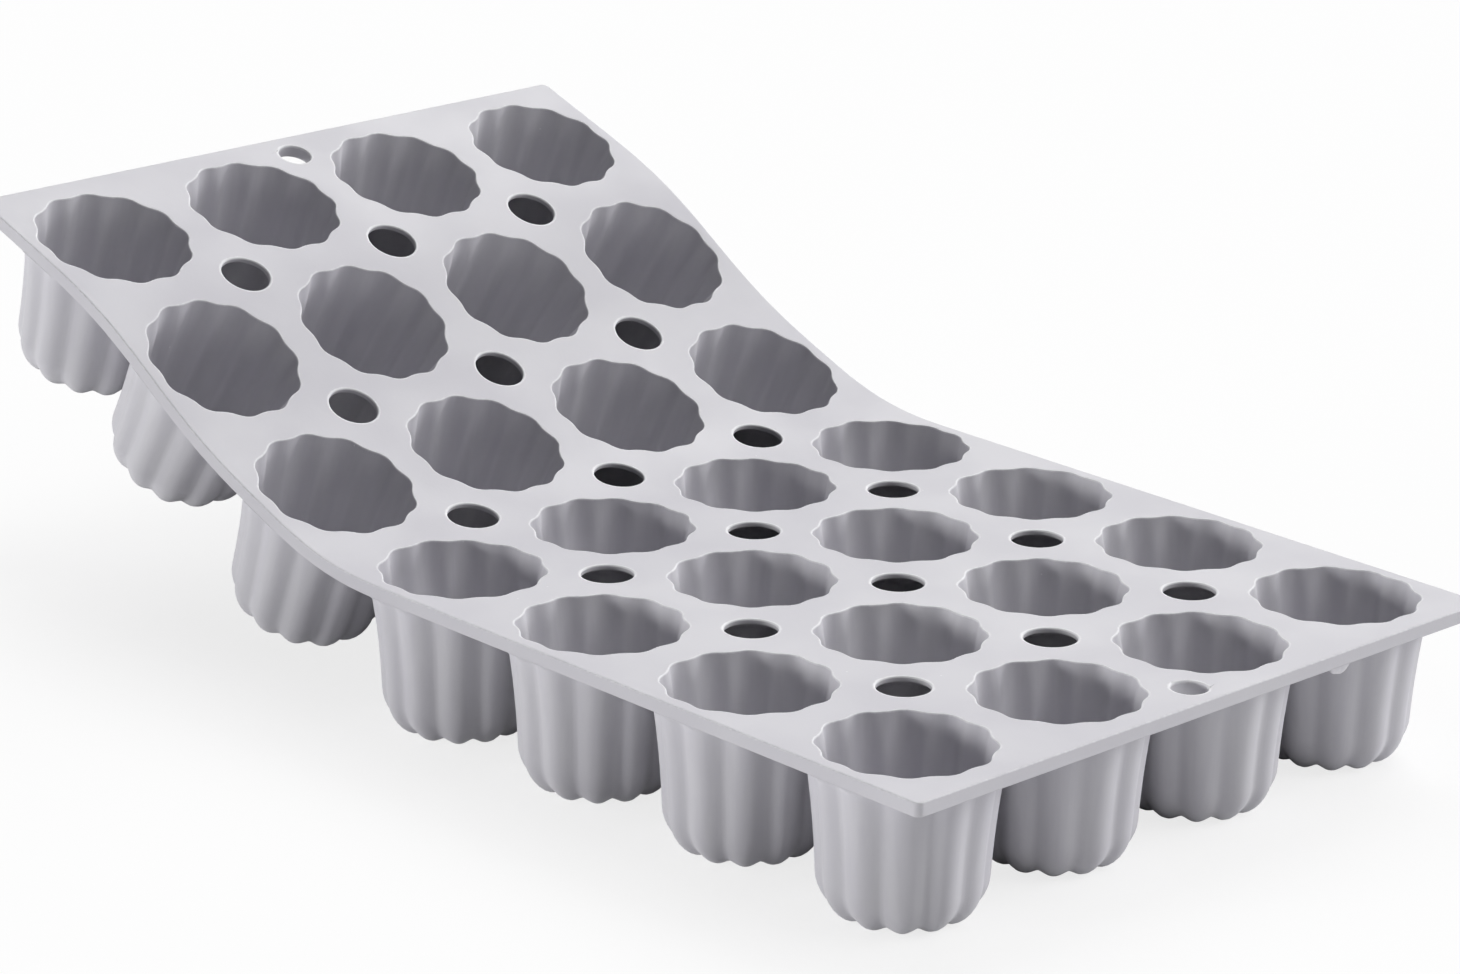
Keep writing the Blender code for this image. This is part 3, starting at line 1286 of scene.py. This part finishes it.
@dataclass(frozen=True)
class Silicone:
    """Matt moulded silicone rubber, faintly cloudy, with dust specks and a painted highlight that makes
    its rims pale.

    Scales are in features to the metre, and colours are linear.
    """

    slot: str
    colour: Colour = (0.630, 0.622, 0.655)
    cloud_colour: Colour = (0.585, 0.574, 0.618)
    highlight_and_dust_colour: Colour = (0.860, 0.858, 0.875)
    refraction: float = 1.41
    gloss: float = 0.5
    roughness: float = 0.50
    cloud_roughness: float = 0.060
    smear_roughness: float = 0.036
    grain_roughness: float = 0.048
    cloudiness: float = 0.35
    cloud_scale: float = 46.0
    cloud_range: Flat = (0.35, 0.68)
    smear_scale: float = 11.0
    smear_range: Flat = (0.4, 0.62)
    relief: float = 0.6
    grain_scale: float = 1500.0
    grain_height: float = 0.00002
    ripple_scale: float = 170.0
    ripple_height: float = 0.00005
    streak_share: float = 0.0
    streak_scale: float = 380.0
    streak_stretch: float = 0.08
    streak_range: Flat = (0.3, 0.7)
    speck_scale: float = 150.0
    speck_radius: float = 0.030
    speck_share: float = 0.22
    speck_strength: float = 0.6
    # Painted highlight along the rims: its share of pale colour, the distances over which it fades and
    # its ragged nicks.
    rim_share: float = 0.8
    rim_start: float = 0.00025
    rim_end: float = 0.00075
    rim_nicks: float = 0.0004
    nick_scale: float = 900.0

    def specks(self, board: NodeBoard, place: Value) -> Value:
        """Scatter sparse pale dust specks.

        Args:
            board: Node board of the finish.
            place: Flat place on the piece.

        Returns:
            1 on a speck and 0 elsewhere.
        """
        cells = board.node("ShaderNodeTexVoronoi", {}, {"Vector": place, "Scale": self.speck_scale})
        chance = board.value("ShaderNodeSeparateColor", {}, {"Color": cells.outputs["Color"]})
        near = Value(board, cells.outputs["Distance"]) < self.speck_radius
        return near * (chance < self.speck_share)

    def noise(self, board: NodeBoard, place: Value, scale: float, detail: float = 2.0) -> Value:
        """Cloudy pattern of a scale, about 0.5 on average."""
        return board.value("ShaderNodeTexNoise", {},
                           {"Vector": place, "Scale": scale, "Detail": detail}, "Fac")

    def streaks(self, board: NodeBoard, place: Value) -> Value:
        """Draw the faint upright streaks left by the tool on the walls.

        Args:
            board: Node board of the finish.
            place: Flat place on the piece.

        Returns:
            Their pattern, from -0.5 to 0.5.
        """
        upright = board.value("ShaderNodeVectorMath", {"operation": "MULTIPLY"},
                              {0: place, 1: (1.0, 1.0, self.streak_stretch)})
        return self.noise(board, upright, self.streak_scale).spread(*self.streak_range) - 0.5

    def material(self) -> bpy.types.Material:
        """Build the material.

        Returns:
            The material, which reads the pieces' attributes.
        """
        material = bpy.data.materials.new(f"{self.slot}_finish")
        board = NodeBoard(material)
        place = board.attribute(FLAT_PLACE, "Vector")
        # Painted highlight: a ragged pale band is painted along the rims, where light catches their
        # rounded edges.
        nicks = self.noise(board, place, self.nick_scale, detail=1.0) - 0.5
        gap = board.attribute(RIM_GAP, "Fac") + self.rim_nicks * nicks
        rim_highlight = 1 - gap.spread(self.rim_start, self.rim_end)
        cloud = self.noise(board, place, self.cloud_scale, detail=3.0).spread(*self.cloud_range)
        smear = self.noise(board, place, self.smear_scale).spread(*self.smear_range)
        grain = self.noise(board, place, self.grain_scale)
        ripple = self.noise(board, place, self.ripple_scale)
        cloudiness = self.cloudiness * cloud + self.cloudiness * smear
        if self.streak_share:
            streak = self.streaks(board, place)
            cloudiness = cloudiness + self.streak_share * streak
            ripple = ripple + self.streak_share * streak
        tint = board.blend_colours(cloudiness, self.colour, self.cloud_colour)
        # Pale colour from the painted rim highlight and from dust specks.
        pale = rim_highlight * self.rim_share + self.specks(board, place) * (1 - rim_highlight) * self.speck_strength
        colour = board.blend_colours(pale, tint, self.highlight_and_dust_colour)
        rough = (self.roughness + self.cloud_roughness * cloud + self.smear_roughness * smear
                 + self.grain_roughness * (grain - 0.5))
        fine = board.node("ShaderNodeBump", {}, {"Height": grain, "Strength": self.relief,
                                                 "Distance": self.grain_height})
        broad = board.node("ShaderNodeBump", {}, {"Height": ripple, "Strength": self.relief,
                                                  "Distance": self.ripple_height,
                                                  "Normal": fine.outputs["Normal"]})
        shader = board.node("ShaderNodeBsdfPrincipled", {}, {
            "Base Color": colour, "Roughness": rough, "Normal": broad.outputs["Normal"],
            "IOR": self.refraction, "Specular IOR Level": self.gloss})
        board.node("ShaderNodeOutputMaterial", {}, {"Surface": shader.outputs["BSDF"]})
        return material

    def dress(self, piece: Object) -> None:
        """Give a piece this finish, named after its slot, and log it.

        Args:
            piece: Piece to dress.
        """
        name = f"{self.slot}_finish"
        piece.data.materials.clear()
        piece.data.materials.append(bpy.data.materials.get(name) or self.material())
        LOG.info("%s: %d faces", piece.name, len(piece.data.polygons))


@dataclass(frozen=True)
class SoftLight:
    """A broad light, so far away that it falls evenly on everything."""

    name: str
    azimuth: float
    elevation: float
    width: float
    strength: float

    def hang(self) -> None:
        """Add the light, shining from its azimuth and elevation towards the mould."""
        source = direction(self.azimuth, self.elevation)
        lamp = Bench.start(bpy.ops.object.light_add, type="SUN", location=source)
        lamp.name = self.name
        lamp.rotation_euler = source.to_track_quat("Z", "Y").to_euler()
        lamp.data.energy = self.strength
        lamp.data.angle = math.radians(self.width)


@dataclass(frozen=True)
class PhotoCamera:
    """Camera at the photograph's viewing angle.

    The offsets say where the anchor, the middle of the last row on the sheet's top face, lies in the
    camera's own axes.
    """

    azimuth: float = 46.14
    elevation: float = 18.65
    roll: float = 1.06
    lens: float = 121.71
    sensor: float = 36.0
    right: float = 0.07826
    up: float = -0.03501
    forward: float = 0.96533

    def place(self, anchor: Vector) -> None:
        """Add the camera and make it the scene's.

        Args:
            anchor: The middle of the last row on the sheet's top face.
        """
        roll = math.radians(self.roll)
        back = direction(self.azimuth, self.elevation)
        level = (-back).cross(Vector((0, 0, 1))).normalized()
        upright = level.cross(-back)
        side = math.cos(roll) * level + math.sin(roll) * upright
        top = -math.sin(roll) * level + math.cos(roll) * upright
        spot = anchor - self.right * side - self.up * top + self.forward * back
        camera = Bench.start(bpy.ops.object.camera_add, location=spot)
        camera.name = "photo_camera"
        camera.rotation_euler = Matrix((side, top, back)).transposed().to_euler()
        camera.data.lens = self.lens
        camera.data.sensor_width = self.sensor
        bpy.context.scene.camera = camera


@dataclass
class Studio:
    """White floor, white surroundings and soft lights.

    The floor keeps the mould's shadow. Away from the mould it shows partly plain white, so that the
    shadow stays faint. Under the mould and behind its lifted end it is painted dark for all rays but
    the camera's, a painted shade, so that it throws little light back.
    """

    plan: MouldPlan
    floor_size: float = 12.0
    floor_colour: Colour = (0.92, 0.92, 0.925)
    # Painted shade: dark floor colour, for all rays but the camera's, under the mould and behind its
    # lifted end.
    painted_shade_floor_colour: Colour = (0.02, 0.02, 0.022)
    painted_shade_start: float = -0.030
    painted_shade_end: float = -0.008
    painted_shade_reach: float = 0.14
    near_fading: float = 0.78
    far_fading: float = 0.93
    fading_start: float = -0.02
    fading_end: float = 0.05
    sky_strength: float = 0.02
    sky_colour: Colour = (0.80, 0.84, 1.0)
    lights: Sequence[SoftLight] = field(default_factory=lambda: (
        SoftLight("back_light", 210.0, 42.0, 40.0, 1.85),
        SoftLight("low_back_light", 160.0, 10.0, 20.0, 1.22),
        SoftLight("right_light", 130.0, 35.0, 30.0, 0.61),
        SoftLight("top_light", 135.0, 65.0, 40.0, 0.62),
        SoftLight("end_light", 100.0, 40.0, 40.0, 0.23),
        SoftLight("left_light", 300.0, 9.0, 14.0, 0.43),
        SoftLight("near_light", 335.0, 5.0, 10.0, 1.42),
    ))

    def lay_floor(self) -> None:
        """Add the floor on which the mould stands."""
        floor = Bench.start(bpy.ops.mesh.primitive_plane_add, size=self.floor_size)
        floor.name = "floor"
        material = bpy.data.materials.new("floor_white")
        board = NodeBoard(material)
        seen = self.seen(board)
        off_mould = self.distance(board)
        camera_ray = board.value("ShaderNodeLightPath", {}, {}, "Is Camera Ray")
        # Painted shade: the floor under the mould and behind its lifted end is dark for all rays but
        # the camera's.
        off_painted_shade = self.distance(board, self.painted_shade_reach)
        open_floor = camera_ray.at_least(off_painted_shade.spread(self.painted_shade_start, self.painted_shade_end))
        colour = board.blend_colours(open_floor, self.painted_shade_floor_colour, self.floor_colour)
        matt = board.node("ShaderNodeBsdfDiffuse", {}, {"Color": colour})
        white = board.node("ShaderNodeEmission", {}, {"Color": WHITE, "Strength": 1.0})
        farness = off_mould.spread(self.fading_start, self.fading_end)
        fading = seen * open_floor * (self.near_fading + (self.far_fading - self.near_fading) * farness)
        mixed = board.node("ShaderNodeMixShader", {},
                           {0: fading, 1: matt.outputs[0], 2: white.outputs[0]})
        board.node("ShaderNodeOutputMaterial", {}, {"Surface": mixed.outputs[0]})
        floor.data.materials.append(material)

    @staticmethod
    def seen(board: NodeBoard) -> Value:
        """Tell the rays that show the surroundings in the picture or in a reflection.

        Args:
            board: Node board of the floor or the world.

        Returns:
            1 for these rays and 0 for others.
        """
        path = board.node("ShaderNodeLightPath")
        kinds = ("Camera", "Glossy", "Transmission")
        rays = [Value(board, path.outputs[f"Is {kind} Ray"]) for kind in kinds]
        return rays[0].at_least(rays[1]).at_least(rays[2])

    def distance(self, board: NodeBoard, reach: float = 0.0) -> Value:
        """Distance of a place on the floor from the mould's outline.

        Args:
            board: Node board of the floor.
            reach: How far the outline is moved outwards at the lifted end and along the back.

        Returns:
            The distance, below 0 inside the outline.
        """
        place = board.node("ShaderNodeTexCoord").outputs["Object"]
        half_length = (self.plan.rows - 1) / 2 * self.plan.row_pitch + self.plan.end_margin
        parts = board.node("ShaderNodeSeparateXYZ", {}, {0: place})
        along = abs(Value(board, parts.outputs["X"]) + reach / 2) - (half_length + reach / 2)
        across = abs(Value(board, parts.outputs["Y"]) - reach / 2) - (self.plan.half_width + reach / 2)
        return along.at_least(across)

    def light_sky(self) -> None:
        """Light the scene evenly from all round, and show white behind it."""
        world = bpy.data.worlds.new("studio")
        bpy.context.scene.world = world
        board = NodeBoard(world)
        seen = self.seen(board)
        even = board.node("ShaderNodeBackground", {}, {"Color": self.sky_colour,
                                                       "Strength": self.sky_strength})
        white = board.node("ShaderNodeBackground", {}, {"Color": WHITE, "Strength": 1.0})
        mixed = board.node("ShaderNodeMixShader", {},
                           {0: seen, 1: even.outputs[0], 2: white.outputs[0]})
        board.node("ShaderNodeOutputWorld", {}, {"Surface": mixed.outputs[0]})

    def build(self, anchor: Vector, camera: PhotoCamera) -> None:
        """Set up the whole studio.

        Args:
            anchor: Point of the mould by which the camera is placed.
            camera: The camera.
        """
        self.lay_floor()
        self.light_sky()
        for light in self.lights:
            light.hang()
        camera.place(anchor)
        bpy.context.scene.view_settings.view_transform = "Standard"


@dataclass
class GateTab:
    """Thin tongue of rubber left under the edge of the flat end, where the mould was filled.

    It gets thinner and narrower downwards, and its free edge is rounded and ragged.
    """

    plan: MouldPlan
    place: float = 0.0376
    width: float = 0.0068
    drop: float = 0.0016
    thickness: float = 0.0009
    root: float = 0.0004
    inset: float = 0.00035
    cuts: int = 7
    least_belly: float = 0.02
    ragged: float = 0.12
    rags: float = 9.0
    rag_start: float = 0.8
    thinning: float = 0.6
    narrowing: float = 0.12
    root_gap: float = 0.0008
    edge_gap: float = 0.00048

    def model(self, curve: SheetCurve) -> Object:
        """Model the tongue from a block, thinned and rounded towards its free edge.

        Args:
            curve: Curve of the flexed mould.

        Returns:
            The tongue, whose root lies inside the sheet.
        """
        tab = Bench.start(bpy.ops.mesh.primitive_cube_add, size=1)
        tab.name = tab.data.name = "gate_tab_row_7"
        with Bench.edit(tab, "EDGE"):
            bpy.ops.mesh.subdivide(number_cuts=self.cuts)
        block = Bench.places(tab)
        down = 0.5 - block[:, 2]
        belly = np.sqrt(np.clip(1 - (2 * block[:, 1]) ** 4, self.least_belly, 1))
        edge = 1 + self.ragged * np.sin(self.rags * block[:, 1] + self.rag_start)
        thin = 1 - self.thinning * down**2
        places = np.stack([
            self.plan.row_station(self.plan.rows) + self.plan.end_margin - self.inset
            + (block[:, 0] * thin - 0.5) * self.thickness,
            self.place + block[:, 1] * self.width * (1 - self.narrowing * down),
            self.root - self.plan.sheet / 2 - down * (self.root + self.drop * belly * edge)], axis=1)
        Bench.keep_attribute(tab, FLAT_PLACE, places)
        # The tongue is painted paler towards its free edge, a painted highlight.
        Bench.keep_attribute(tab, RIM_GAP, self.root_gap + (self.edge_gap - self.root_gap) * down)
        Bench.set_places(tab, curve.lay(places))
        Bench.apply(tab, "SUBSURF", levels=1, render_levels=1)
        Bench.smooth(tab)
        return tab


@dataclass
class Mould:
    """The whole moulding."""

    plan: MouldPlan
    curve: SheetCurve
    cup: FlutedCup
    sheet: FlutedSheet
    tab: GateTab
    deck_finish: Silicone
    cup_finish: Silicone

    def add_cups(self) -> None:
        """Lay a cup under every mouth."""
        pattern = self.cup.model()
        for row in range(1, self.plan.rows + 1):
            for column in range(1, self.plan.columns + 1):
                cup = self.cup.lay(pattern, self.curve, row, column)
                self.cup_finish.dress(cup)
                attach(cup, f"row_{row}")
                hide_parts(f"cup_r{row}_c{column}")
        bpy.data.objects.remove(pattern)

    def add_strips(self) -> None:
        """Lay the sheet between each row and the next."""
        pattern = self.sheet.model_strip()
        for row in range(1, self.plan.rows):
            name = f"sheet_strip_{row}_{row + 1}"
            strip = self.sheet.lay(pattern, self.curve, name, self.plan.row_station(row + 0.5))
            self.deck_finish.dress(strip)
            self.sheet.bend_with_rows(strip, self.curve, row)
            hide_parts(f"flex_web_{row}_{row + 1}", f"deck_row_{row + 1}")
        bpy.data.objects.remove(pattern)

    def add_ends(self) -> None:
        """Lay the two ends of the sheet, with the tongue under the flat one."""
        for end, row in ((End.LIFTED, 1), (End.FLAT, self.plan.rows)):
            pattern = self.sheet.model_end(end)
            name = f"sheet_end_row_{row}"
            piece = self.sheet.lay(pattern, self.curve, name, self.plan.row_station(row))
            self.deck_finish.dress(piece)
            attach(piece, f"row_{row}")
            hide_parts(f"deck_row_{row}")
            bpy.data.objects.remove(pattern)
        tab = self.tab.model(self.curve)
        self.deck_finish.dress(tab)
        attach(tab, f"row_{self.plan.rows}")


def main() -> None:
    """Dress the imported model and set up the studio."""
    logging.basicConfig(level=logging.INFO, format="%(message)s")
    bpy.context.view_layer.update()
    plan = MouldPlan()
    curve = SheetCurve(plan, frame["joints"])
    cup = FlutedCup(plan)
    sheet = FlutedSheet(plan, cup.lip_radius, cup.inner_flute, cup.crest)
    mould = Mould(plan, curve, cup, sheet, GateTab(plan), Silicone("silicone_deck"),
                  Silicone("silicone_cup", streak_share=0.6))
    mould.add_cups()
    mould.add_strips()
    mould.add_ends()
    anchor = curve.spot(plan.row_station(plan.rows), plan.sheet / 2)
    Studio(plan).build(Vector(anchor), PhotoCamera())


if __name__ == "__main__":
    main()
